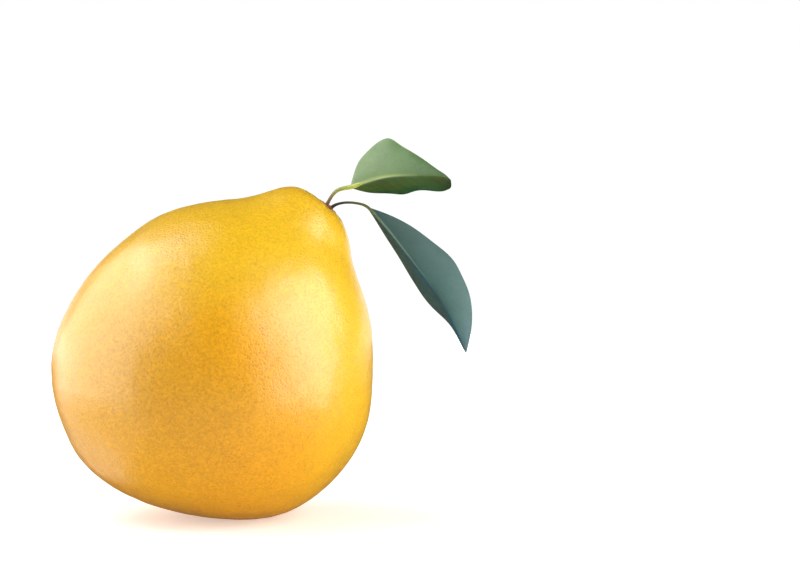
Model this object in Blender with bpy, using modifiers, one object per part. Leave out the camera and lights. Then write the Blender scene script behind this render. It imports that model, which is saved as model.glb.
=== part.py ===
"""Whole pomelo with two leaves on its stem end, resting on the flat spot under its belly.

Run with: blender --background --python part.py
Units are metres in the scene. Lengths below are in millimetres and pass through mm().
The origin is the centre of the flat resting spot, +Z is up and +X is the side the fruit leans to.
"""

import math

import bmesh
import bpy
import numpy as np
from mathutils import Matrix, Vector

COLLECTION = "pomelo"

# Fruit: stations from the blossom end to the stem end, as
# (distance along the axis, half width, sideways drift of the centre), in mm.
FRUIT_STATIONS = (
    (0, 0, -12),
    (3, 23, -12),
    (10, 39.5, -8.5),
    (23, 57.5, -6),
    (44, 71.5, -3.5),
    (71, 76.5, -2),
    (100, 71, -3.2),
    (124, 57, -4.5),
    (141, 40.5, -5),
    (152, 27.5, -5),
    (161, 19.8, -4.4),
    (165.6, 13, -3.8),
    (166.6, 0, -1.2),
)
LEAN = math.radians(33)  # the fruit's axis leans this far from upright, towards +X
DEPTH_SHARE = 0.965  # front-to-back size over side-to-side size
NECK_TILT = math.radians(7)  # the stem seat leans this much more than the axis
NECK_START = 145  # the extra tilt begins this far along the axis
NECK_LENGTH = 25
FLAT_DEPTH = 1.5  # the resting spot is cut this far above the lowest point
FRUIT_SEGMENTS = 60
FRUIT_RINGS = 44

GAP = 0.3  # clearance between neighbouring pieces

# Calyx: the woody button in the neck. Profile as (radius, height above the seat).
CALYX_RADIUS = 4.2
CALYX_RIM = 0.35
CALYX_HEIGHT = 0.6
CALYX_STEPS = 32

# Stem stub: the cut pedicel that both leaves spring from.
STUB_RADIUS = 2.3
STUB_TOP_RADIUS = 1.8
STUB_HEIGHT = 0.8
STUB_SHIFT = 0.8  # along the seat, away from the hump

# Leaves. Points are (right, back, up) from the stem seat, in mm.
UPPER_PETIOLE = (
    (0.75, 0, 2.5),
    (2.5, -0.4, 5.4),
    (4.6, -1, 7.5),
    (7.4, -1.8, 8.6),
    (10.6, -2.8, 9.1),
)
UPPER_PETIOLE_RADII = (0.75, 0.8, 0.9, 1.0, 1.05)
UPPER_MIDRIB = (
    (10.9, -3, 9.1),
    (17.5, -7.5, 11.6),
    (25, -13, 13.9),
    (33, -19, 14.9),
    (41.5, -24.5, 14.8),
    (48.5, -29, 14.6),
    (53.5, -32.3, 13.8),
    (55.8, -34, 12.6),
)
# Each half of a leaf is set by (share of the midrib, reach to the margin in mm).
UPPER_NEAR = (
    (0, 0),
    (0.08, 9.3),
    (0.165, 13.8),
    (0.275, 16.8),
    (0.37, 18.7),
    (0.425, 19.1),
    (0.475, 18),
    (0.53, 15.7),
    (0.62, 12.6),
    (0.735, 8.6),
    (0.82, 5.2),
    (0.89, 2.6),
    (0.95, 1.2),
    (1, 0),
)
UPPER_FAR = (
    (0, 0),
    (0.1, 5.2),
    (0.23, 9.6),
    (0.38, 12.6),
    (0.46, 12.9),
    (0.55, 11.8),
    (0.62, 11.1),
    (0.71, 10.9),
    (0.78, 11.4),
    (0.84, 11.3),
    (0.885, 10.2),
    (0.95, 6.5),
    (1, 0),
)
LOWER_PETIOLE = (
    (3.3, 0.0, 0.5),
    (6.8, -0.2, 1.6),
    (10.6, -0.5, 1.9),
    (14.6, -0.8, 1.5),
    (18.6, -1.2, 0.2),
)
LOWER_PETIOLE_RADII = (0.65, 0.65, 0.7, 0.75, 0.8)
LOWER_MIDRIB = (
    (18.9, -1.3, 0),
    (27, -3, -8.5),
    (36.5, -5.5, -20.5),
    (46.5, -8, -33.5),
    (55.5, -10, -46.5),
    (61.9, -11, -58.8),
    (66.1, -11, -69.8),
)
LOWER_NEAR = (
    (0, 0),
    (0.08, 4.2),
    (0.165, 8.2),
    (0.25, 11.4),
    (0.38, 14.9),
    (0.52, 17.6),
    (0.63, 16.2),
    (0.73, 14.6),
    (0.82, 11.6),
    (0.9, 7.4),
    (1, 0),
)
LOWER_FAR = (
    (0, 0),
    (0.1, 2.8),
    (0.21, 5.4),
    (0.4, 8),
    (0.53, 10.4),
    (0.61, 11.4),
    (0.7, 9.2),
    (0.78, 4.8),
    (0.85, 2.2),
    (0.92, 1.3),
    (1, 0),
)
BLADE_THICKNESS = 0.6
BLADE_STEPS = 28  # along the midrib
BLADE_HALF_STEPS = 7  # from the midrib to one edge


def mm(value):
    return value * 0.001


def clear_scene():
    for old in list(bpy.data.objects):
        bpy.data.objects.remove(old, do_unlink=True)


def new_collection(name):
    made = bpy.data.collections.new(name)
    bpy.context.scene.collection.children.link(made)
    return made


def new_material(name, colour, roughness):
    made = bpy.data.materials.new(name)
    made.use_nodes = True
    shader = made.node_tree.nodes["Principled BSDF"]
    shader.inputs["Base Color"].default_value = (*colour, 1.0)
    shader.inputs["Roughness"].default_value = roughness
    shader.inputs["Metallic"].default_value = 0.0
    return made


def add_object(name, data, material, collection):
    made = bpy.data.objects.new(name, data)
    made.data.materials.append(material)
    collection.objects.link(made)
    return made


def spline(knots, values, at):
    """Natural cubic spline through the values, one column for each quantity."""
    count = len(knots)
    step = np.diff(knots)[:, None]
    system = np.eye(count)
    right = np.zeros_like(values)
    for i in range(1, count - 1):
        system[i, i - 1 : i + 2] = step[i - 1, 0], 2 * (step[i - 1, 0] + step[i, 0]), step[i, 0]
    right[1:-1] = 6 * (np.diff(values[1:], axis=0) / step[1:] - np.diff(values[:-1], axis=0) / step[:-1])
    bend = np.linalg.solve(system, right)
    i = np.clip(np.searchsorted(knots, at) - 1, 0, count - 2)
    a = ((knots[i + 1] - at) / step[i, 0])[:, None]
    b = 1 - a
    curve = (a**3 - a) * bend[i] + (b**3 - b) * bend[i + 1]
    return a * values[i] + b * values[i + 1] + curve * step[i] ** 2 / 6


def through_points(points, at):
    """A smooth path through the points, at shares 0 to 1 of its length."""
    points = np.array(points, float)
    run = np.linalg.norm(np.diff(points, axis=0), axis=1)
    knots = np.concatenate(([0.0], np.cumsum(run)))
    return spline(knots, points, np.asarray(at) * knots[-1])


def fruit_rings(share):
    """Along, half width and drift at shares 0 to 1 of the way from blossom end to stem end.

    The stations are mirrored past each pole, so the surface closes there smoothly.
    """
    stations = np.array(FRUIT_STATIONS, float)
    mirror = np.array((1.0, -1.0, 1.0))
    below = stations[3:0:-1] * mirror
    above = stations[-2:-5:-1] * mirror
    whole = np.vstack((below, stations, above))
    knots = np.concatenate(([0.0], np.cumsum(np.hypot(np.diff(whole[:, 0]), np.diff(whole[:, 1])))))
    first, last = knots[3], knots[-4]
    return spline(knots, whole, first + share * (last - first))


def fruit_points(share, around):
    """Points on the peel in mm, leaning, before it is set down on its flat spot."""
    along, half, drift = fruit_rings(share).T
    ease = np.clip((along - NECK_START) / NECK_LENGTH, 0, 1)
    ease = ease * ease * (3 - 2 * ease)
    side = half * np.cos(around)
    x = drift + side
    y = DEPTH_SHARE * half * np.sin(around)
    z = along - math.tan(NECK_TILT) * ease * side
    lean_x = math.cos(LEAN) * x + math.sin(LEAN) * z
    lean_z = math.cos(LEAN) * z - math.sin(LEAN) * x
    return np.stack((lean_x, y, lean_z), axis=-1)


def build_fruit(material, collection):
    """A UV sphere reshaped to the pomelo's profile, with its resting spot cut flat."""
    bm = bmesh.new()
    bmesh.ops.create_uvsphere(bm, u_segments=FRUIT_SEGMENTS, v_segments=FRUIT_RINGS, radius=1.0)
    ball = np.array([v.co for v in bm.verts])
    share = 1 - np.arccos(np.clip(ball[:, 2], -1, 1)) / math.pi
    points = fruit_points(share, np.arctan2(ball[:, 1], ball[:, 0]))
    floor = points[:, 2].min() + FLAT_DEPTH
    for vert, point in zip(bm.verts, points):
        vert.co = Vector((mm(point[0]), mm(point[1]), mm(point[2] - floor)))
    bmesh.ops.bisect_plane(
        bm,
        geom=bm.verts[:] + bm.edges[:] + bm.faces[:],
        dist=1e-7,
        plane_co=(0, 0, 0),
        plane_no=(0, 0, 1),
        clear_inner=True,
    )
    rim = [edge for edge in bm.edges if edge.is_boundary]
    bmesh.ops.edgeloop_fill(bm, edges=rim)
    rim_x = [vert.co.x for edge in rim for vert in edge.verts]
    centre = (min(rim_x) + max(rim_x)) / 2
    bmesh.ops.translate(bm, verts=bm.verts, vec=(-centre, 0, 0))
    bmesh.ops.recalc_face_normals(bm, faces=bm.faces)
    mesh = bpy.data.meshes.new("fruit")
    bm.to_mesh(mesh)
    bm.free()
    add_object("fruit", mesh, material, collection)
    seat = fruit_points(np.array([1.0]), np.array([0.0]))[0]
    return Vector((mm(seat[0]) - centre, mm(seat[1]), mm(seat[2] - floor)))


def turned(name, profile, steps, material, collection):
    """A solid of revolution: the (radius, height) profile in mm, top to bottom, about Z."""
    mesh = bpy.data.meshes.new(name)
    points = [(mm(radius), 0.0, mm(height)) for radius, height in profile]
    edges = [(i, i + 1) for i in range(len(points) - 1)]
    mesh.from_pydata(points, edges, [])
    made = add_object(name, mesh, material, collection)
    screw = made.modifiers.new("turn", "SCREW")
    screw.steps = steps
    screw.render_steps = steps
    screw.use_merge_vertices = True
    screw.merge_threshold = 0.00001
    return made


def build_calyx(seat, tilt, material, collection):
    top = GAP + CALYX_HEIGHT
    profile = (
        (0, top),
        (STUB_RADIUS, top),
        (CALYX_RADIUS * 0.8, GAP + CALYX_RIM * 1.3),
        (CALYX_RADIUS, GAP + CALYX_RIM * 0.7),
        (CALYX_RADIUS * 0.96, GAP),
        (0, GAP),
    )
    calyx = turned("calyx", profile, CALYX_STEPS, material, collection)
    calyx.location = seat
    calyx.rotation_euler = (0, tilt, 0)


def build_stub(seat, tilt, material, collection):
    base = 2 * GAP + CALYX_HEIGHT
    profile = (
        (0, base + STUB_HEIGHT),
        (STUB_TOP_RADIUS * 0.85, base + STUB_HEIGHT),
        (STUB_TOP_RADIUS, base + STUB_HEIGHT * 0.85),
        (STUB_RADIUS, base + STUB_HEIGHT * 0.2),
        (STUB_RADIUS * 0.92, base),
        (0, base),
    )
    stub = turned("stem_stub", profile, CALYX_STEPS, material, collection)
    turn = Matrix.Rotation(tilt, 3, "Y")
    stub.location = seat + turn @ Vector((mm(STUB_SHIFT), 0, 0))
    stub.rotation_euler = (0, tilt, 0)


def build_petiole(name, seat, points, radii, material, collection):
    """A tapering leaf stalk: a bevelled curve through the points, welded shut at its ends."""
    curve = bpy.data.curves.new(name, "CURVE")
    curve.dimensions = "3D"
    curve.bevel_depth = mm(1.0)
    curve.bevel_resolution = 2
    curve.use_fill_caps = True
    curve.resolution_u = 4
    line = curve.splines.new("BEZIER")
    line.bezier_points.add(len(points) - 1)
    for knot, point, radius in zip(line.bezier_points, points, radii):
        knot.co = seat + Vector([mm(value) for value in point])
        knot.radius = radius
        knot.handle_left_type = "AUTO"
        knot.handle_right_type = "AUTO"
    made = add_object(name, curve, material, collection)
    weld = made.modifiers.new("close caps", "WELD")
    weld.merge_threshold = 0.000005
    return made


def leaf_reach(stations, share):
    """Reach from the midrib to the margin in mm, by a smooth curve through the stations."""
    stations = np.array(stations, float)
    return np.maximum(spline(stations[:, 0], stations[:, 1:], share)[:, 0], 0.2)


def upper_halves(share):
    """Reach of the upper leaf's two halves, as vectors across the midrib in mm.

    The first half stands up and leans back. The second folds down and under.
    """
    up = Vector((-0.06, 0.30, 0.95)).normalized()
    down = Vector((0.45, 0.62, -0.64)).normalized()
    return np.outer(leaf_reach(UPPER_NEAR, share), up), np.outer(leaf_reach(UPPER_FAR, share), down)


def lower_halves(share):
    """Reach of the lower leaf's right and left halves, as vectors across the midrib in mm."""
    right = Vector((0.79, 0.34, 0.51)).normalized()
    left = Vector((-0.42, 0.87, -0.26)).normalized()
    return np.outer(leaf_reach(LOWER_NEAR, share), right), np.outer(leaf_reach(LOWER_FAR, share), left)


def build_blade(name, seat, midrib, halves, cup, material, collection):
    """A folded leaf: a sheet on both sides of its midrib, given its thickness by Solidify.

    cup is how far the middle of each half swells out of its plane, in mm.
    """
    share = np.linspace(0.012, 0.988, BLADE_STEPS + 1)
    spine = through_points(midrib, share)
    first, second = halves(share)
    across = np.linspace(0, 1, BLADE_HALF_STEPS + 1)
    width = np.sin(math.pi * share)[:, None, None]
    out = across[None, :, None]
    bow = cup * width * (out - out**2) * 4
    tangent = np.gradient(spine, axis=0)
    tangent /= np.linalg.norm(tangent, axis=1)[:, None]
    sheets = []
    for reach, sign in ((first, 1), (second, -1)):
        normal = np.cross(tangent, reach) * sign
        normal /= np.linalg.norm(normal, axis=1)[:, None]
        sheets.append(spine[:, None] + out * reach[:, None] + bow * normal[:, None])
    grid = np.concatenate((sheets[0][:, :0:-1], sheets[1]), axis=1)
    rows, columns = grid.shape[:2]
    bm = bmesh.new()
    verts = [[bm.verts.new(seat + Vector(mm(value) for value in point)) for point in row] for row in grid]
    for i in range(rows - 1):
        for j in range(columns - 1):
            bm.faces.new((verts[i][j], verts[i][j + 1], verts[i + 1][j + 1], verts[i + 1][j]))
    mesh = bpy.data.meshes.new(name)
    bm.to_mesh(mesh)
    bm.free()
    made = add_object(name, mesh, material, collection)
    wall = made.modifiers.new("thickness", "SOLIDIFY")
    wall.thickness = mm(BLADE_THICKNESS)
    wall.offset = 0.0
    return made


def main():
    clear_scene()
    parts = new_collection(COLLECTION)
    peel = new_material("peel", (0.86, 0.50, 0.06), 0.42)
    bark = new_material("bark", (0.16, 0.08, 0.04), 0.75)
    stalk = new_material("stalk", (0.30, 0.33, 0.07), 0.5)
    leaf = new_material("leaf", (0.08, 0.18, 0.05), 0.4)
    tilt = LEAN + NECK_TILT

    seat = build_fruit(peel, parts)
    build_calyx(seat, tilt, bark, parts)
    build_stub(seat, tilt, bark, parts)
    build_petiole("upper_petiole", seat, UPPER_PETIOLE, UPPER_PETIOLE_RADII, stalk, parts)
    build_blade("upper_leaf", seat, UPPER_MIDRIB, upper_halves, 1.5, leaf, parts)
    build_petiole("lower_petiole", seat, LOWER_PETIOLE, LOWER_PETIOLE_RADII, stalk, parts)
    build_blade("lower_leaf", seat, LOWER_MIDRIB, lower_halves, 1.2, leaf, parts)


main()
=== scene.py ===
import math

import bpy
import numpy as np
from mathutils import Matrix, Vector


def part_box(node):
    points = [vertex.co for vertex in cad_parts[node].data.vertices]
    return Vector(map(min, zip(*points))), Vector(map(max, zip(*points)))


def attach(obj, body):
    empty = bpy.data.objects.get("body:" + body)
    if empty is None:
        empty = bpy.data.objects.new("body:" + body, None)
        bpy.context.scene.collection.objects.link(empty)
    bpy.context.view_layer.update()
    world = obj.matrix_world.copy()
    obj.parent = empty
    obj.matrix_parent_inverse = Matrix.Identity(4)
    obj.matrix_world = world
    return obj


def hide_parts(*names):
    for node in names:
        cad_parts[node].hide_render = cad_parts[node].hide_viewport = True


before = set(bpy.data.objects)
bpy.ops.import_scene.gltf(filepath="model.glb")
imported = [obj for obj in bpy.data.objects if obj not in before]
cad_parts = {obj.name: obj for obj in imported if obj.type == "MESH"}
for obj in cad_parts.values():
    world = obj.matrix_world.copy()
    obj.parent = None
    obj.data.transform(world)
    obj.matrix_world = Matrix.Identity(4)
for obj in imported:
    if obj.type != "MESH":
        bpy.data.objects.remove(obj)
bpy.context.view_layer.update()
mm = 0.001
print("frame: CAD nodes", ", ".join(sorted(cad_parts)))


def linear(hexColour, alpha=1.0):
    # sRGB hex to linear light, by the standard curve
    srgb = np.array([int(hexColour[i:i + 2], 16) for i in (1, 3, 5)]) / 255
    light = np.where(srgb <= 0.04045, srgb / 12.92, ((srgb + 0.055) / 1.055) ** 2.4)
    return (*light.tolist(), alpha)


def addNode(tree, kind, settings=None, values=None, links=None):
    # one shader node: its own settings, its plain socket values and the sockets that feed it
    made = tree.nodes.new(kind)
    for name, value in (settings or {}).items():
        setattr(made, name, value)
    for name, value in (values or {}).items():
        made.inputs[name].default_value = value
    for name, source in (links or {}).items():
        tree.links.new(source, made.inputs[name])
    return made


def setRamp(ramp, stops):
    # stops of (place, hex colour or grey) on a colour ramp
    elements = ramp.color_ramp.elements
    while len(elements) < len(stops):
        elements.new(0.5)
    for element, (place, tone) in zip(elements, stops):
        element.position = place
        element.color = linear(tone) if isinstance(tone, str) else (tone, tone, tone, 1)


def newMaterial(name):
    made = bpy.data.materials.new(name)
    made.use_nodes = True
    tree = made.node_tree
    return made, tree, tree.nodes["Principled BSDF"]


def spline(knots, values, at):
    # natural cubic spline: the smoothest curve through the values, linear system for its bends
    step = np.diff(knots)[:, None]
    count = len(knots)
    system = np.eye(count)
    right = np.zeros_like(values)
    inner = np.arange(1, count - 1)
    system[inner, inner - 1] = step[:-1, 0]
    system[inner, inner] = 2 * (step[:-1, 0] + step[1:, 0])
    system[inner, inner + 1] = step[1:, 0]
    slope = np.diff(values, axis=0) / step
    right[1:-1] = 6 * np.diff(slope, axis=0)
    bend = np.linalg.solve(system, right)
    i = np.clip(np.searchsorted(knots, at) - 1, 0, count - 2)
    a = ((knots[i + 1] - at) / step[i, 0])[:, None]
    b = 1 - a
    curve = (a ** 3 - a) * bend[i] + (b ** 3 - b) * bend[i + 1]
    return a * values[i] + b * values[i + 1] + curve * step[i] ** 2 / 6


def alongPath(points, share):
    # a smooth path through the points, read at shares 0 to 1 of its length
    points = np.array(points, float)
    knots = np.concatenate(([0.0], np.cumsum(np.linalg.norm(np.diff(points, axis=0), axis=1))))
    return spline(knots, points, np.asarray(share) * knots[-1])


def unit(vectors):
    return vectors / np.maximum(np.linalg.norm(vectors, axis=-1, keepdims=True), 1e-12)


def ease(value, low, high):
    # smooth step from 0 at low to 1 at high
    t = np.clip((value - low) / (high - low), 0, 1)
    return t * t * (3 - 2 * t)


def waves(points, shortest, longest, count, seed):
    # soft solid noise, about -1 to 1: the mean of plane waves in random directions, scaled up
    draw = np.random.default_rng(seed)
    direction = unit(draw.normal(size=(count, 3)))
    length = shortest * (longest / shortest) ** draw.random(count)
    phase = draw.random(count) * 2 * math.pi
    turns = points @ (direction / length[:, None]).T * 2 * math.pi + phase
    return np.sin(turns).sum(axis=-1) / math.sqrt(count)


def ringMesh(name, rings, material, attributes=None, outward=True):
    # a closed skin over rings of points: quads between rings, and the first and last ring
    # drawn together to a pole each. attributes are one number for each ring point
    count, around = rings.shape[:2]
    body = rings[1:-1].reshape(-1, 3)
    poles = rings[[0, -1]].mean(axis=1)
    verts = np.vstack((body, poles)) * mm
    row = np.arange(count - 3)[:, None] * around
    here = np.arange(around)[None, :]
    there = (here + 1) % around
    quads = np.stack((row + here, row + there, row + around + there, row + around + here), -1)
    first, last = len(body), len(body) + 1
    top = (count - 3) * around
    startFan = np.stack((np.full(around, first), there[0], here[0]), -1)
    endFan = np.stack((np.full(around, last), top + here[0], top + there[0]), -1)
    fans = np.vstack((startFan, endFan))
    quads = quads.reshape(-1, 4)
    if not outward:
        quads, fans = quads[:, ::-1], fans[:, ::-1]
    mesh = bpy.data.meshes.new(name)
    mesh.from_pydata(verts.tolist(), [], quads.tolist() + fans.tolist())
    mesh.polygons.foreach_set("use_smooth", np.ones(len(mesh.polygons), bool))
    for key, values in (attributes or {}).items():
        flat = np.concatenate((values[1:-1].ravel(), values[[0, -1]].mean(axis=1)))
        mesh.attributes.new(key, "FLOAT", "POINT").data.foreach_set("value", flat.astype(np.float32))
    mesh.update()
    piece = bpy.data.objects.new(name, mesh)
    bpy.context.scene.collection.objects.link(piece)
    mesh.materials.append(material)
    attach(piece, "root")
    print("made", name, "with", len(mesh.polygons), "faces")
    return piece


# fruit

fruitLook = {
    # stations: (distance along the axis, half width, sideways drift), blossom end to stem end, mm
    "stations": (
        (0, 0, -12), (3, 23, -12), (10, 39.5, -8.5), (23, 57.5, -6), (44, 71.5, -3.5),
        (71, 76.5, -2), (100, 71, -3.2), (124, 57, -4.5), (141, 40.5, -5), (152, 27.5, -5),
        (161, 19.8, -4.4), (165.6, 13, -3.8), (166.6, 0, -1.2),
    ),
    "lean": 33,  # degrees from upright
    "depthShare": 0.965,
    "neckTilt": 7,  # extra lean of the stem seat, degrees
    "neckStart": 145,
    "neckLength": 25,
    "rings": 286,
    "around": 336,
    "broadLumps": 0.45,  # mm, over 30 to 90 mm
    "smallLumps": 0.05,  # mm, over 6 to 14 mm
    "seatFurrows": 0.22,  # mm, creases that run out from the calyx
}


def peelPoints(look, share, around):
    # rings across a leaning axis: along, half width and drift by spline, then turned by the lean
    stations = np.array(look["stations"], float)
    mirror = np.array((1.0, -1.0, 1.0))  # past a pole the profile comes back on the other side
    whole = np.vstack((stations[3:0:-1] * mirror, stations, stations[-2:-5:-1] * mirror))
    knots = np.concatenate(([0.0], np.cumsum(np.hypot(np.diff(whole[:, 0]), np.diff(whole[:, 1])))))
    along, half, drift = spline(knots, whole, knots[3] + share * (knots[-4] - knots[3])).T
    tilt = math.tan(math.radians(look["neckTilt"]))
    tilt = tilt * ease(along, look["neckStart"], look["neckStart"] + look["neckLength"])
    side = half[:, None] * np.cos(around)
    x = drift[:, None] + side
    y = look["depthShare"] * half[:, None] * np.sin(around)
    z = along[:, None] - tilt[:, None] * side
    c, s = math.cos(math.radians(look["lean"])), math.sin(math.radians(look["lean"]))
    return np.stack((c * x + s * z, y, c * z - s * x), -1)


share = np.linspace(0, 1, fruitLook["rings"] + 1)
around = np.linspace(0, 2 * math.pi, fruitLook["around"], endpoint=False)
skin = peelPoints(fruitLook, share, around)
fruitLow, fruitHigh = (np.array(corner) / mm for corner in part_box("fruit"))
setDown = np.array((fruitLow[0] - skin[..., 0].min(), 0, fruitHigh[2] - skin[..., 2].max()))
skin = skin + setDown
seat = skin[-1].mean(axis=0)
seatLean = math.radians(fruitLook["lean"] + fruitLook["neckTilt"])
seatOut = np.array((math.sin(seatLean), 0, math.cos(seatLean)))  # away from the fruit
seatSide = np.array((math.cos(seatLean), 0, -math.sin(seatLean)))  # down the seat, to +X


def fruitSkin(look, skin):
    # the smooth body moved along its normals by broad lumps, small lumps and seat furrows
    across = np.roll(skin, -1, axis=1) - np.roll(skin, 1, axis=1)
    normal = unit(np.cross(across, np.gradient(skin, axis=0)))
    normal[[0, -1]] = normal[[1, -2]].mean(axis=1, keepdims=True)
    fromSeat = np.linalg.norm(skin - seat, axis=-1)
    bulge = look["broadLumps"] * waves(skin, 30, 90, 10, 3) * ease(fromSeat, 6, 40)
    bulge = bulge + look["smallLumps"] * waves(skin, 6, 14, 24, 5)
    furrow = np.cos(7 * around + 1.3 * np.sin(2 * around)) * np.exp(-((fromSeat - 8) / 4) ** 2)
    bulge = bulge + look["seatFurrows"] * furrow
    bulge[[0, -1]] = bulge[[0, -1]].mean(axis=1, keepdims=True)
    out = skin + normal * bulge[..., None]
    out[..., 2] = np.maximum(out[..., 2], 0)  # the flat spot that it rests on
    return out


# peel: citrus rind, grown. A waxy coat over round oil glands gives a soft broad gloss
# and fine darker dots, on a colour that runs from yellow at the neck to orange at the base. The darker
# orange at the base is partly the peel's own colour and partly painted shade on the low side

peelLook = {
    "glandSpacing": 1.25,  # mm from gland to gland
    "glandRadius": 0.75,  # mm
    "glandDepth": 0.075,  # mm
    "glandCore": 0.2,  # share of the radius that is darkest
    "glandScatter": 0.9,
    "grainDepth": 0.06,  # mm
    # sizes of the noises, mm
    "blotchSize": 45,
    "mottleSize": 6,
    "speckSize": 1.3,
    "dotFieldSize": 12,
    "grainSize": 1.1,
    "blotchShift": 0.30,  # how far blotches move the ground colour along the axis
    "dotShare": (0.25, 0.6),
    "dotTint": "#e6cf98",
    "mottling": 0.04,  # light and dark mottling, share of the tone
    "specks": 0.16,  # light and dark specks, share of the tone
    # from the blossom end to the neck; the darker orange at the blossom end is partly painted shade
    "ground": ((0.0, "#d8960c"), (0.30, "#e3a20c"), (0.55, "#eab40c"), (0.80, "#f1bf14"),
               (1.0, "#f2be20")),
    # (right, back, up) in mm, reach in mm, colour, share: more orange in front; a darker olive gold
    # to the left, painted shade on the side that the light reaches less; darker round the calyx
    "patches": (((0, -72, 58), 56, "#ee9808", 0.6), ((-42, -58, 46), 64, "#cd980e", 0.55),
                ((45, 0, 149), 9, "#dc7a12", 0.7)),
    "patchCore": 0.15,  # share of the reach that is fully covered
    "patchRagged": 0.5,
    "roughness": 0.29,
    "ior": 1.5,
    "coat": 0.4,  # wax
    "coatRoughness": 0.25,
    "bloom": 0.01,  # the dusty bloom on the wax
    "bloomRoughness": 0.4,
    "bloomTint": "#fff1dc",
}


def peelMaterial(look):
    material, tree, shader = newMaterial("citrusPeel")
    place = addNode(tree, "ShaderNodeTexCoord").outputs["Object"]
    axis = addNode(tree, "ShaderNodeAttribute", {"attribute_name": "along"}).outputs["Fac"]

    # ground colour from the blossom end to the neck, darker at the blossom end partly as painted shade,
    # pushed about by slow blotches
    blotch = addNode(tree, "ShaderNodeTexNoise", links={"Vector": place},
                     values={"Scale": 1000 / look["blotchSize"], "Detail": 2.0})
    shift = addNode(tree, "ShaderNodeMath", {"operation": "MULTIPLY_ADD"},
                    {1: look["blotchShift"], 2: -look["blotchShift"] / 2}, {0: blotch.outputs["Fac"]})
    where = addNode(tree, "ShaderNodeMath", {"operation": "ADD"}, None, {0: axis, 1: shift.outputs[0]})
    ground = addNode(tree, "ShaderNodeValToRGB", links={"Fac": where.outputs[0]})
    setRamp(ground, look["ground"])

    def patch(below, spot):
        # a wide soft patch of another colour round a place on the peel
        centre, reach, tone, share = spot
        away = addNode(tree, "ShaderNodeVectorMath", {"operation": "DISTANCE"}, links={0: place})
        away.inputs[1].default_value = tuple(mm * c for c in centre)
        ragged = addNode(tree, "ShaderNodeMath", {"operation": "MULTIPLY_ADD"},
                         {1: -look["patchRagged"] * reach * mm},
                         {0: blotch.outputs["Fac"], 2: away.outputs["Value"]})
        cover = addNode(tree, "ShaderNodeMapRange", {"interpolation_type": "SMOOTHSTEP"},
                        {"From Min": reach * mm, "From Max": reach * look["patchCore"] * mm,
                         "To Min": 0.0, "To Max": share},
                        {"Value": ragged.outputs[0]})
        return addNode(tree, "ShaderNodeMix", {"data_type": "RGBA"}, {"B": linear(tone)},
                       {"Factor": cover.outputs[0], "A": below}).outputs["Result"]

    tinted = ground.outputs["Color"]
    # the darker olive-gold patch on the left is painted shade
    for spot in look["patches"]:
        tinted = patch(tinted, spot)

    # fine mottling, two sizes
    mottle = addNode(tree, "ShaderNodeTexNoise", links={"Vector": place},
                     values={"Scale": 1000 / look["mottleSize"], "Detail": 3.0})
    speck = addNode(tree, "ShaderNodeTexNoise", links={"Vector": place},
                    values={"Scale": 1000 / look["speckSize"], "Detail": 2.0, "Roughness": 0.6})
    mottleTone = addNode(tree, "ShaderNodeMapRange", links={"Value": mottle.outputs["Fac"]},
                         values={"From Min": 0.3, "From Max": 0.7,
                                 "To Min": 1 - look["mottling"], "To Max": 1 + look["mottling"]})
    speckTone = addNode(tree, "ShaderNodeMapRange", links={"Value": speck.outputs["Fac"]},
                        values={"From Min": 0.25, "From Max": 0.75,
                                "To Min": 1 - look["specks"], "To Max": 1 + look["specks"]})
    tones = addNode(tree, "ShaderNodeMath", {"operation": "MULTIPLY"},
                    links={0: mottleTone.outputs[0], 1: speckTone.outputs[0]})
    mottled = addNode(tree, "ShaderNodeVectorMath", {"operation": "SCALE"},
                      links={0: tinted, "Scale": tones.outputs[0]})

    # oil glands: a round dot in each cell, darker in some patches than in others
    glands = addNode(tree, "ShaderNodeTexVoronoi", {"feature": "F1"},
                     {"Scale": 1000 / look["glandSpacing"], "Randomness": look["glandScatter"]},
                     {"Vector": place})
    radius = look["glandRadius"] / look["glandSpacing"]
    dot = addNode(tree, "ShaderNodeMapRange", {"interpolation_type": "SMOOTHSTEP"},
                  {"From Min": radius, "From Max": radius * look["glandCore"], "To Min": 0.0, "To Max": 1.0},
                  {"Value": glands.outputs["Distance"]})
    dotField = addNode(tree, "ShaderNodeTexNoise", links={"Vector": place},
                       values={"Scale": 1000 / look["dotFieldSize"], "Detail": 3.0})
    strength = addNode(tree, "ShaderNodeMapRange", links={"Value": dotField.outputs["Fac"]},
                       values={"From Min": 0.35, "From Max": 0.65,
                               "To Min": look["dotShare"][0], "To Max": look["dotShare"][1]})
    dotted = addNode(tree, "ShaderNodeMath", {"operation": "MULTIPLY"}, None,
                     {0: dot.outputs[0], 1: strength.outputs[0]})
    colour = addNode(tree, "ShaderNodeMix", {"data_type": "RGBA", "blend_type": "MULTIPLY"},
                     {"B": linear(look["dotTint"])}, {"Factor": dotted.outputs[0], "A": mottled.outputs[0]})

    # relief: pits at the glands on a finely wrinkled skin
    grain = addNode(tree, "ShaderNodeTexNoise", links={"Vector": place},
                    values={"Scale": 1000 / look["grainSize"], "Detail": 2.0})
    pit = addNode(tree, "ShaderNodeMath", {"operation": "MULTIPLY"},
                  {1: -look["glandDepth"] * mm}, {0: dot.outputs[0]})
    height = addNode(tree, "ShaderNodeMath", {"operation": "MULTIPLY_ADD"}, {1: look["grainDepth"] * mm},
                     {0: grain.outputs["Fac"], 2: pit.outputs[0]})
    relief = addNode(tree, "ShaderNodeBump", values={"Strength": 1.0, "Distance": 1.0},
                     links={"Height": height.outputs[0]})

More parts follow.
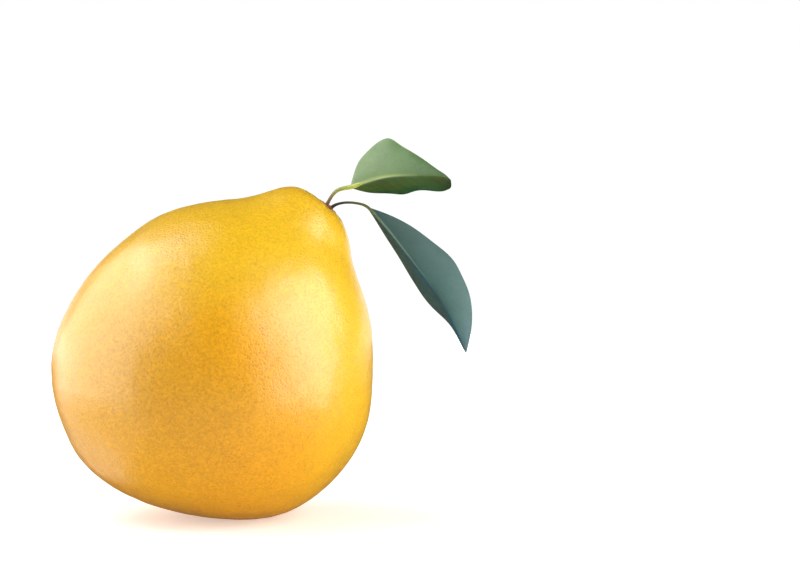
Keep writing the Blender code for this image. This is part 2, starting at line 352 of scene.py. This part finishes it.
    tree.links.new(colour.outputs["Result"], shader.inputs["Base Color"])
    tree.links.new(relief.outputs["Normal"], shader.inputs["Normal"])
    shader.inputs["Roughness"].default_value = look["roughness"]
    shader.inputs["IOR"].default_value = look["ior"]
    shader.inputs["Coat Weight"].default_value = look["coat"]
    shader.inputs["Coat Roughness"].default_value = look["coatRoughness"]
    shader.inputs["Sheen Weight"].default_value = look["bloom"]
    shader.inputs["Sheen Roughness"].default_value = look["bloomRoughness"]
    shader.inputs["Sheen Tint"].default_value = linear(look["bloomTint"])
    return material


alongFruit = np.repeat(share[:, None], fruitLook["around"], axis=1)
fruitPiece = ringMesh("pomeloFruit", fruitSkin(fruitLook, skin), peelMaterial(peelLook),
                      {"along": alongFruit})
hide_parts("fruit")


# calyx and stem stub: bark, dried on the fruit. Dull, fibrous and nearly black in its cracks

barkLook = {
    "light": "#8a4c1c",
    "dark": "#34190b",
    "edge": "#c8762a",
    "roughness": 0.8,
    "crackSpacing": 0.7,  # mm
    "crackDepth": 0.2,  # mm
}


def barkMaterial(look):
    material, tree, shader = newMaterial("driedBark")
    place = addNode(tree, "ShaderNodeTexCoord").outputs["Object"]
    fibre = addNode(tree, "ShaderNodeTexNoise", values={"Scale": 1000 / look["crackSpacing"], "Detail": 4.0},
                    links={"Vector": place})
    tone = addNode(tree, "ShaderNodeValToRGB", links={"Fac": fibre.outputs["Fac"]})
    setRamp(tone, ((0.35, look["dark"]), (0.55, look["light"]), (0.75, look["edge"])))
    relief = addNode(tree, "ShaderNodeBump", links={"Height": fibre.outputs["Fac"]},
                     values={"Strength": 0.8, "Distance": look["crackDepth"] * mm})
    tree.links.new(tone.outputs["Color"], shader.inputs["Base Color"])
    tree.links.new(relief.outputs["Normal"], shader.inputs["Normal"])
    shader.inputs["Roughness"].default_value = look["roughness"]
    return material


bark = barkMaterial(barkLook)

calyxShape = {
    # (radius, height over the peel) in mm, from the middle of the underside to the middle of the top
    "profile": ((0, -0.6), (3.0, -0.6), (4.5, -0.3), (4.9, 0.05), (4.3, 0.35), (3.2, 0.5),
                (1.8, 0.6), (0, 0.65)),
    "rough": 0.10,  # mm
    "seed": 11,
    "shift": 0,
    "lobes": 5,
    "lobeDepth": 0.16,
    "around": 120,
    "rings": 60,
}
stubShape = {
    "profile": ((0, 0.1), (1.9, 0.1), (2.1, 0.4), (1.9, 0.75), (1.5, 1.05), (0.9, 1.2), (0, 1.15)),
    "rough": 0.15,
    "seed": 12,
    "lobes": 3,
    "lobeDepth": 0.08,
    "shift": 0.8,  # mm down the seat
    "around": 72,
    "rings": 48,
}


def peelHeight(side, back):
    # height of the peel over the seat's plane: a cubic in side, a square in back, fitted near the seat
    near = skin.reshape(-1, 3) - seat
    near = near[np.linalg.norm(near, axis=1) < 7]

    def terms(a, b):
        return np.stack((a, a * a, b * b, a * a * a), -1)

    fit = np.linalg.lstsq(terms(near @ seatSide, near[:, 1]), near @ seatOut, rcond=None)[0]
    return terms(side, back) @ fit


def turnedOnSeat(shape):
    # a profile turned about the seat's axis, its radius swelling in lobes, laid on the peel
    # and roughened by waves
    turn = np.linspace(0, 2 * math.pi, shape["around"], endpoint=False)
    profile = alongPath([(r, h, 0) for r, h in shape["profile"]], np.linspace(0, 1, shape["rings"] + 1))
    lobes = 1 + shape["lobeDepth"] * np.cos(shape["lobes"] * turn) + 0.05 * np.sin(2 * turn + 1)
    radius = np.maximum(profile[:, 0:1], 0) * lobes
    radius[[0, -1]] = 0
    side = radius * np.cos(turn) + shape["shift"]
    back = radius * np.sin(turn)
    out = profile[:, 1:2] + peelHeight(side, back)
    bumps = waves(np.stack((side, back, out), -1), 0.8, 2.5, 24, shape["seed"])
    out = out + shape["rough"] * bumps * ease(radius, 0, 1.0)
    flat = side[..., None] * seatSide + back[..., None] * np.array((0, 1, 0))
    return seat + flat + out[..., None] * seatOut


calyxPiece = ringMesh("calyxButton", turnedOnSeat(calyxShape), bark, outward=False)
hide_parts("calyx")
stubPiece = ringMesh("stemStub", turnedOnSeat(stubShape), bark, outward=False)
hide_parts("stem_stub")


# petioles

petioleLook = {
    "upper": {
        # (right, back, up) from the seat in mm, then into the blade's midrib
        "path": ((-0.4, 0.0, 0.2), (0.6, 0.0, 2.2), (2.5, -0.4, 5.4), (4.6, -1.0, 7.5), (7.4, -1.8, 8.6),
                 (10.6, -2.8, 9.2), (14.2, -5.2, 10.4), (17.5, -7.5, 11.5)),
        "radii": (1.0, 0.82, 0.84, 0.95, 1.05, 1.15, 0.95, 0.4),
        "colours": ((0.0, "#5a3a20"), (0.12, "#7d6238"), (0.30, "#8f8a45"), (0.5, "#a2ac42"),
                    (0.75, "#b2bd55"), (1.0, "#a3b862")),
    },
    "lower": {
        "path": ((1.5, 0.0, -1.0), (3.2, 0.0, 0.3), (6.8, -0.2, 1.6), (10.6, -0.5, 1.9), (14.6, -0.8, 1.5),
                 (18.6, -1.2, 0.2), (22.0, -1.9, -3.0), (25.5, -2.7, -6.8)),
        "radii": (0.95, 0.68, 0.60, 0.60, 0.64, 0.72, 0.6, 0.25),
        "colours": ((0.0, "#2f2013"), (0.15, "#3a3620"), (0.35, "#4d4f2c"), (0.6, "#6b6a35"),
                    (0.8, "#5f7446"), (1.0, "#55745a")),
    },
    "around": 40,
    "rings": 150,
    "roughness": 0.45,
    "streakSize": 1.2,  # mm
    "streakShift": 0.16,
    "streakDepth": 0.1,  # mm
    "ridges": 5,
    "ridgeDepth": 0.04,  # share of the radius
    "channelDepth": 0.10,  # share of the radius, the groove along the stalk
}


def stalkMaterial(name, look):
    # petiole: green stalk, grown, with thin bark at its foot. A satin skin with fine ridges along it
    material, tree, shader = newMaterial(name)
    place = addNode(tree, "ShaderNodeTexCoord").outputs["Object"]
    run = addNode(tree, "ShaderNodeAttribute", {"attribute_name": "along"}).outputs["Fac"]
    streak = addNode(tree, "ShaderNodeTexNoise", links={"Vector": place},
                     values={"Scale": 1000 / petioleLook["streakSize"], "Detail": 3.0})
    shift = petioleLook["streakShift"]
    wander = addNode(tree, "ShaderNodeMath", {"operation": "MULTIPLY_ADD"}, {1: shift, 2: -shift / 2},
                     {0: streak.outputs["Fac"]})
    where = addNode(tree, "ShaderNodeMath", {"operation": "ADD"}, None, {0: run, 1: wander.outputs[0]})
    tone = addNode(tree, "ShaderNodeValToRGB", links={"Fac": where.outputs[0]})
    setRamp(tone, look["colours"])
    relief = addNode(tree, "ShaderNodeBump", links={"Height": streak.outputs["Fac"]},
                     values={"Strength": 0.4, "Distance": petioleLook["streakDepth"] * mm})
    tree.links.new(tone.outputs["Color"], shader.inputs["Base Color"])
    tree.links.new(relief.outputs["Normal"], shader.inputs["Normal"])
    shader.inputs["Roughness"].default_value = petioleLook["roughness"]
    return material


def tube(common, path, radii):
    # circles carried along a path, their radius by spline, ridged slightly, closed at both ends
    rings, around = common["rings"], common["around"]
    share = np.linspace(0, 1, rings + 1)
    line = alongPath(path, share)
    knots = np.linspace(0, 1, len(radii))
    radius = spline(knots, np.array(radii, float)[:, None], share)[:, 0]
    end = 1.2 / rings
    radius = radius * np.sqrt(np.clip(share / end, 0, 1) * np.clip((1 - share) / end, 0, 1))
    forward = unit(np.gradient(line, axis=0))
    side = unit(np.cross(forward, (0, 1.0, 0.0)))
    back = np.cross(side, forward)
    turn = np.linspace(0, 2 * math.pi, around, endpoint=False)
    channel = common["channelDepth"] * np.exp(-((turn - math.pi / 2) / 0.5) ** 2)
    ridged = radius[:, None] * (1 + common["ridgeDepth"] * np.cos(common["ridges"] * turn) - channel)
    outward = np.cos(turn)[:, None] * side[:, None] + np.sin(turn)[:, None] * back[:, None]
    return line[:, None] + ridged[..., None] * outward, np.repeat(share[:, None], around, axis=1)


for which in ("upper", "lower"):
    look = petioleLook[which]
    points, run = tube(petioleLook, look["path"], look["radii"])
    material = stalkMaterial(which + "Stalk", look)
    piece = ringMesh(which + "Petiole", points + seat, material, {"along": run}, outward=False)
    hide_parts(which + "_petiole")


# leaf blades

bladeLook = {
    "rows": 220,
    "columns": 64,
    "thickness": 0.42,  # mm
    "fold": 0.07,  # how softly the halves meet, share of the reach
    "veinPairs": 11,
    "veinWidth": 0.07,  # share of the way from vein to vein
    "ridgeUp": 0.10,  # mm, the midrib on the upper face
    "ridgeDown": 0.75,
    "veinSunk": 0.015,
    "veinRaised": 0.06,
    "upper": {
        # (right, back, up) from the seat in mm
        "midrib": ((10.9, -3.0, 9.1), (17.5, -7.5, 11.6), (25.0, -13.0, 13.9), (33.0, -19.0, 14.9),
                   (41.5, -24.5, 14.8), (48.5, -29.0, 14.6), (53.5, -32.3, 13.8), (55.8, -34.0, 12.6)),
        # each half: its direction across the midrib, then (share of the midrib, reach in mm)
        "first": ((-0.06, 0.30, 0.95),
                  ((0, 0), (0.08, 9.3), (0.165, 13.8), (0.275, 16.8), (0.37, 18.7),
                   (0.425, 19.1), (0.475, 18.0), (0.53, 15.7), (0.62, 12.6), (0.735, 8.6),
                   (0.82, 5.2), (0.89, 2.6), (0.95, 1.2), (1, 0))),
        "second": ((0.45, 0.62, -0.64),
                   ((0, 0), (0.1, 5.2), (0.23, 9.6), (0.38, 12.6), (0.46, 12.9), (0.55, 11.8),
                    (0.62, 11.1), (0.71, 10.9), (0.78, 11.4), (0.84, 11.3), (0.885, 10.2),
                    (0.95, 6.5), (1, 0))),
        "midribWidth": 0.95,
        "cup": 1.5,
        "wave": 0.30,
    },
    "lower": {
        "midrib": ((18.9, -1.3, 0.0), (27.0, -3.0, -8.5), (36.5, -5.5, -20.5), (46.5, -8.0, -33.5),
                   (55.5, -10.0, -46.5), (61.9, -11.0, -58.8), (66.1, -11.0, -69.8)),
        "first": ((0.79, 0.34, 0.51),
                  ((0, 0), (0.08, 4.2), (0.165, 8.2), (0.25, 11.4), (0.38, 14.9), (0.52, 17.6),
                   (0.63, 16.2), (0.73, 14.6), (0.82, 11.6), (0.9, 7.4), (1, 0))),
        "second": ((-0.42, 0.87, -0.26),
                   ((0, 0), (0.1, 2.8), (0.21, 5.4), (0.4, 8.0), (0.53, 10.4), (0.61, 11.4), (0.7, 9.2),
                    (0.78, 4.8), (0.85, 2.2), (0.92, 1.3), (1, 0))),
        "midribWidth": 0.55,
        "cup": 1.2,
        "wave": 0.2,
    },
}


def halfReach(share, half):
    # reach from the midrib to the margin by a smooth curve through the stations, as a vector
    direction, stations = half
    stations = np.array(stations, float)
    reach = spline(stations[:, 0], stations[:, 1:], share)
    return np.maximum(reach, 0.02) * unit(np.array(direction, float))


def bladeShell(common, leaf):
    # a sheet folded softly at its midrib and cupped on both sides; its two faces stand half a
    # thickness off, with a midrib ridge and sunken side veins, and meet at the margin
    share = np.linspace(0, 1, common["rows"] + 1)
    q = np.linspace(-1, 1, common["columns"] + 1)
    across = q - 0.12 * np.sin(2 * math.pi * q)  # closer points at the midrib and the margins
    spine = alongPath(leaf["midrib"], share)
    first, second = halfReach(share, leaf["first"]), halfReach(share, leaf["second"])
    soft = common["fold"]
    toFirst = (across + np.sqrt(across ** 2 + soft ** 2)) / 2
    toSecond = toFirst - across
    sheet = spine[:, None] + toFirst[None, :, None] * first[:, None]
    sheet = sheet + toSecond[None, :, None] * second[:, None]
    sheet = sheet - (soft / 2) * (first + second)[:, None]
    width = np.linalg.norm(first, axis=1)[:, None]
    full = np.linalg.norm(first, axis=1).max()

    def faceNormal(grid):
        normal = np.cross(np.gradient(grid, axis=0), np.gradient(grid, axis=1))
        normal[[0, -1]] = normal[[1, -2]]
        normal = unit(normal)
        return normal if normal[..., 1].mean() < 0 else -normal  # the upper face looks to the front

    reach = np.abs(across)[None, :]
    swell = leaf["cup"] * 4 * (reach - reach ** 2) * (width / full)
    ripplePhase = 2 * math.pi * (3.2 * share[:, None] + 0.2 * np.sign(across))
    ripple = leaf["wave"] * reach ** 3 * np.sin(ripplePhase)
    sheet = sheet + faceNormal(sheet) * (swell + ripple * np.sin(math.pi * share)[:, None])[..., None]
    normal = faceNormal(sheet)

    millis = reach * np.maximum(width, 0.3)
    taper = (1 - share[:, None]) ** 0.6
    ridge = np.exp(-(millis / (leaf["midribWidth"] * (0.35 + 0.65 * taper))) ** 2)
    phase = common["veinPairs"] * (share[:, None] - 0.16 * reach ** 0.85)
    vein = np.exp(-((phase - np.round(phase)) / common["veinWidth"]) ** 2)
    vein = vein * ease(reach, 0.04, 0.12) * (1 - ease(reach, 0.75, 0.95))
    shell = common["thickness"] / 2 * np.sqrt(np.clip(1 - reach ** 8, 0, 1))
    shell = shell * (0.25 + 0.75 * ease(width, 0, 3))
    over = shell + common["ridgeUp"] * ridge * taper - common["veinSunk"] * vein
    below = shell + common["ridgeDown"] * ridge * taper + common["veinRaised"] * vein
    upper = sheet + normal * over[..., None]
    under = sheet - normal * below[..., None]
    rings = np.concatenate((upper, under[:, -2:0:-1]), axis=1)
    acrossRing = np.concatenate((across, across[-2:0:-1]))
    faceRing = np.concatenate((np.ones_like(across), -np.ones(len(across) - 2)))
    marks = {
        "along": np.repeat(share[:, None], rings.shape[1], axis=1),
        "across": np.repeat(acrossRing[None], len(share), axis=0),
        "face": np.repeat(faceRing[None], len(share), axis=0),
        "ridge": np.concatenate((ridge, ridge[:, -2:0:-1]), axis=1),
        "vein": np.concatenate((vein, vein[:, -2:0:-1]), axis=1),
    }
    return rings, marks


leafLook = {
    "cloudSize": 8,  # mm
    "fleckSize": 1.1,  # mm
    "cellSize": 0.6,  # mm
    "cellDepth": 0.06,  # mm
    "veinShare": 0.10,
    "marginShare": 0.6,
    "backRougher": 0.2,
    # colours run from the stalk to the tip, for the half above or right of the midrib and the other; the
    # other half is painted darker, painted shade for the half that turns from the light
    "upper": {"first": ((0.0, "#6d8c4e"), (0.5, "#5c8043"), (0.85, "#42682f"), (1.0, "#36551f")),
              "second": ((0.0, "#355c26"), (0.3, "#1c4c24"), (0.75, "#22522a"), (1.0, "#14321a")),
              "back": "#7f9a62", "midrib": "#a6bd78", "margin": "#93ad6c", "vein": "#5f8a4c",
              "midribEnd": 0.70, "roughness": 0.44},
    "lower": {"first": ((0.0, "#24463f"), (0.4, "#2d554e"), (0.8, "#34605a"), (1.0, "#30565c")),
              "second": ((0.0, "#143e3e"), (0.5, "#084a5e"), (1.0, "#124c5a")),
              "back": "#6f917a", "midrib": "#6f9484", "margin": "#1f4045", "vein": "#3a6058",
              "midribEnd": 0.60, "roughness": 0.58},
}


def leafMaterial(name, look):
    # citrus leaf, grown: a waxy cuticle gives a satin face, a duller and paler back, a pale midrib
    material, tree, shader = newMaterial(name)
    place = addNode(tree, "ShaderNodeTexCoord").outputs["Object"]

    marks = {}
    for key in ("along", "across", "face", "ridge", "vein"):
        marks[key] = addNode(tree, "ShaderNodeAttribute", {"attribute_name": key}).outputs["Fac"]
    halves = {}
    for half in ("first", "second"):
        ramp = addNode(tree, "ShaderNodeValToRGB", links={"Fac": marks["along"]})
        setRamp(ramp, look[half])
        halves[half] = ramp.outputs["Color"]
    blend = {"data_type": "RGBA"}
    product = {"operation": "MULTIPLY"}

    # the two halves meet at the midrib, the second half painted darker as painted shade, and the back has
    # its own colour
    side = addNode(tree, "ShaderNodeMapRange", links={"Value": marks["across"]},
                   values={"From Min": -0.03, "From Max": 0.03})
    front = addNode(tree, "ShaderNodeMix", blend,
                    links={"Factor": side.outputs[0], "A": halves["second"], "B": halves["first"]})
    facing = addNode(tree, "ShaderNodeMapRange", links={"Value": marks["face"]},
                     values={"From Min": -1.0, "From Max": 1.0})
    ground = addNode(tree, "ShaderNodeMix", blend, {"A": linear(look["back"])},
                     {"Factor": facing.outputs[0], "B": front.outputs["Result"]})

    # soft clouds and fine flecks
    cloud = addNode(tree, "ShaderNodeTexNoise", links={"Vector": place},
                    values={"Scale": 1000 / leafLook["cloudSize"], "Detail": 4.0})
    fleck = addNode(tree, "ShaderNodeTexNoise", links={"Vector": place},
                    values={"Scale": 1000 / leafLook["fleckSize"], "Detail": 3.0})
    cloudTone = addNode(tree, "ShaderNodeMapRange", links={"Value": cloud.outputs["Fac"]},
                        values={"From Min": 0.3, "From Max": 0.7, "To Min": 0.90, "To Max": 1.08})
    fleckTone = addNode(tree, "ShaderNodeMapRange", links={"Value": fleck.outputs["Fac"]},
                        values={"From Min": 0.3, "From Max": 0.7, "To Min": 0.93, "To Max": 1.06})
    tone = addNode(tree, "ShaderNodeMath", product,
                   links={0: cloudTone.outputs[0], 1: fleckTone.outputs[0]})
    clouded = addNode(tree, "ShaderNodeVectorMath", {"operation": "SCALE"},
                      links={0: ground.outputs["Result"], "Scale": tone.outputs[0]})

    # side veins, margin and midrib, one over the other
    veinCover = addNode(tree, "ShaderNodeMath", product, {1: leafLook["veinShare"]}, {0: marks["vein"]})
    veined = addNode(tree, "ShaderNodeMix", blend, {"B": linear(look["vein"])},
                     {"Factor": veinCover.outputs[0], "A": clouded.outputs[0]})
    edge = addNode(tree, "ShaderNodeMath", {"operation": "ABSOLUTE"}, links={0: marks["across"]})
    edgeCover = addNode(tree, "ShaderNodeMapRange", links={"Value": edge.outputs[0]},
                        values={"From Min": 0.965, "From Max": 1.0, "To Min": 0.0,
                                "To Max": leafLook["marginShare"]})
    edged = addNode(tree, "ShaderNodeMix", blend, {"B": linear(look["margin"])},
                    {"Factor": edgeCover.outputs[0], "A": veined.outputs["Result"]})
    fade = addNode(tree, "ShaderNodeMapRange", links={"Value": marks["along"]},
                   values={"From Min": look["midribEnd"] - 0.35, "From Max": look["midribEnd"],
                           "To Min": 0.95, "To Max": 0.05})
    ridgeCover = addNode(tree, "ShaderNodeMath", product, links={0: marks["ridge"], 1: fade.outputs[0]})
    ribbed = addNode(tree, "ShaderNodeMix", blend, {"B": linear(look["midrib"])},
                     {"Factor": ridgeCover.outputs[0], "A": edged.outputs["Result"]})

    # fine cells in the cuticle, and a duller back
    cells = addNode(tree, "ShaderNodeTexVoronoi", {"feature": "F1"},
                    {"Scale": 1000 / leafLook["cellSize"]}, {"Vector": place})
    relief = addNode(tree, "ShaderNodeBump", links={"Height": cells.outputs["Distance"]},
                     values={"Strength": 0.25, "Distance": leafLook["cellDepth"] * mm})
    rough = addNode(tree, "ShaderNodeMapRange", links={"Value": marks["face"]},
                    values={"From Min": -1.0, "From Max": 1.0, "To Max": look["roughness"],
                            "To Min": look["roughness"] + leafLook["backRougher"]})
    tree.links.new(ribbed.outputs["Result"], shader.inputs["Base Color"])
    tree.links.new(rough.outputs[0], shader.inputs["Roughness"])
    tree.links.new(relief.outputs["Normal"], shader.inputs["Normal"])
    return material


for which in ("upper", "lower"):
    rings, marks = bladeShell(bladeLook, bladeLook[which])
    material = leafMaterial(which + "Leaf", leafLook[which])
    piece = ringMesh(which + "LeafBlade", rings + seat, material, marks, outward=False)
    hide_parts(which + "_leaf")


# stage: floor, light and camera

stageLook = {
    "floor": "#f2f2f2",
    "floorRoughness": 0.9,
    "floorReach": 60,  # metres from the fruit to the floor's edge
    "floorGlow": (0.36, 0.80),  # the table is lit from inside, less near the fruit
    "glowReach": (0.3, 1.0),
    "backdrop": 1.0,
    "backdropHalfWidth": 3.0,
    "backdropDistance": 1.3,
    "backdropHeight": 0.3,
    "fill": 0.06,
    "overhead": 0.7,
    "overheadSpread": 80,
    # softboxes: name, place, aim, size in metres, watts that light, watts that only shine
    "lights": (
        ("leftSoftbox", (-0.86, 0.08, 0.41), (0, 0, 0.08), (1.75, 1.20), 12.9, 54),
        ("topSoftbox", (-0.60, 0.15, 1.08), (0, 0, 0.08), (0.70, 0.70), 4.6, 0.5),
        ("tableSoftbox", (-0.80, 0.10, -0.36), (0, 0, 0.08), (1.90, 0.70), 0, 3.2),
        ("rightSoftbox", (0.80, -0.33, 0.33), (0, 0, 0.08), (0.76, 1.10), 10.0, 20.5),
    ),
    "lens": 90,
    "cameraPlace": (0.0, -0.958, 0.151),
    "turnRight": 4.80,  # degrees
    "tiltDown": 2.54,
    "roll": 0.23,
}


def aimed(piece, place, target):
    # turn a light at place so that it looks at target
    direction = np.array(target, float) - np.array(place, float)
    flat = math.hypot(direction[0], direction[1])
    piece.location = place
    piece.rotation_euler = (math.atan2(flat, -direction[2]), 0, math.atan2(-direction[0], direction[1]))


def stagePlane(name, corners, material):
    mesh = bpy.data.meshes.new(name)
    mesh.from_pydata(corners, [], [(0, 1, 2, 3)])
    mesh.materials.append(material)
    plane = bpy.data.objects.new(name, mesh)
    bpy.context.scene.collection.objects.link(plane)
    return plane


def buildStage(look):
    floorMaterial, tree, shader = newMaterial("paleFloor")
    shader.inputs["Base Color"].default_value = linear(look["floor"])
    shader.inputs["Roughness"].default_value = look["floorRoughness"]
    shader.inputs["Emission Color"].default_value = (1, 1, 1, 1)
    place = addNode(tree, "ShaderNodeTexCoord").outputs["Object"]
    away = addNode(tree, "ShaderNodeVectorMath", {"operation": "LENGTH"}, links={0: place})
    span = dict(zip(("From Min", "From Max", "To Min", "To Max"), look["glowReach"] + look["floorGlow"]))
    glow = addNode(tree, "ShaderNodeMapRange", values=span, links={"Value": away.outputs["Value"]})
    tree.links.new(glow.outputs[0], shader.inputs["Emission Strength"])
    reach = look["floorReach"]
    corners = [(-reach, -reach, 0), (reach, -reach, 0), (reach, reach, 0), (-reach, reach, 0)]
    floor = stagePlane("floor", corners, floorMaterial)
    floor.visible_glossy = False

    backdropMaterial, tree, shader = newMaterial("litBackdrop")
    shader.inputs["Base Color"].default_value = linear("#000000")
    shader.inputs["Emission Color"].default_value = (1, 1, 1, 1)
    shader.inputs["Emission Strength"].default_value = look["backdrop"]
    wide, far, high = look["backdropHalfWidth"], look["backdropDistance"], look["backdropHeight"]
    corners = [(-wide, far, 0), (wide, far, 0), (wide, far, high), (-wide, far, high)]
    stagePlane("backdrop", corners, backdropMaterial)

    # a white backdrop to look at, and a much dimmer room to light the fruit
    world = bpy.data.worlds.new("studio")
    world.use_nodes = True
    bpy.context.scene.world = world
    tree = world.node_tree
    background = tree.nodes["Background"]
    background.inputs["Color"].default_value = (1, 1, 1, 1)
    seen = addNode(tree, "ShaderNodeLightPath").outputs["Is Camera Ray"]
    strength = addNode(tree, "ShaderNodeMapRange", links={"Value": seen},
                       values={"To Min": look["fill"], "To Max": look["backdrop"]})
    tree.links.new(strength.outputs[0], background.inputs["Strength"])

    data = bpy.data.lights.new("overheadDome", "SUN")
    data.energy = look["overhead"]
    data.angle = math.radians(look["overheadSpread"])
    overhead = bpy.data.objects.new("overheadDome", data)
    bpy.context.scene.collection.objects.link(overhead)
    overhead.visible_glossy = False
    for name, place, target, size, *watts in look["lights"]:
        for part, energy in zip(("", "Shine"), watts):
            data = bpy.data.lights.new(name + part, "AREA")
            data.shape = "RECTANGLE"
            data.size, data.size_y = size
            data.energy = energy
            light = bpy.data.objects.new(name + part, data)
            bpy.context.scene.collection.objects.link(light)
            aimed(light, place, target)
            light.visible_diffuse = part == ""
            light.visible_camera = False

    data = bpy.data.cameras.new("camera")
    data.lens = look["lens"]
    data.sensor_width = 36
    camera = bpy.data.objects.new("camera", data)
    bpy.context.scene.collection.objects.link(camera)
    camera.location = look["cameraPlace"]
    angles = (90 - look["tiltDown"], -look["roll"], -look["turnRight"])
    camera.rotation_euler = tuple(math.radians(angle) for angle in angles)
    bpy.context.scene.camera = camera
    bpy.context.scene.view_settings.view_transform = "Standard"
    print("stage set")


buildStage(stageLook)
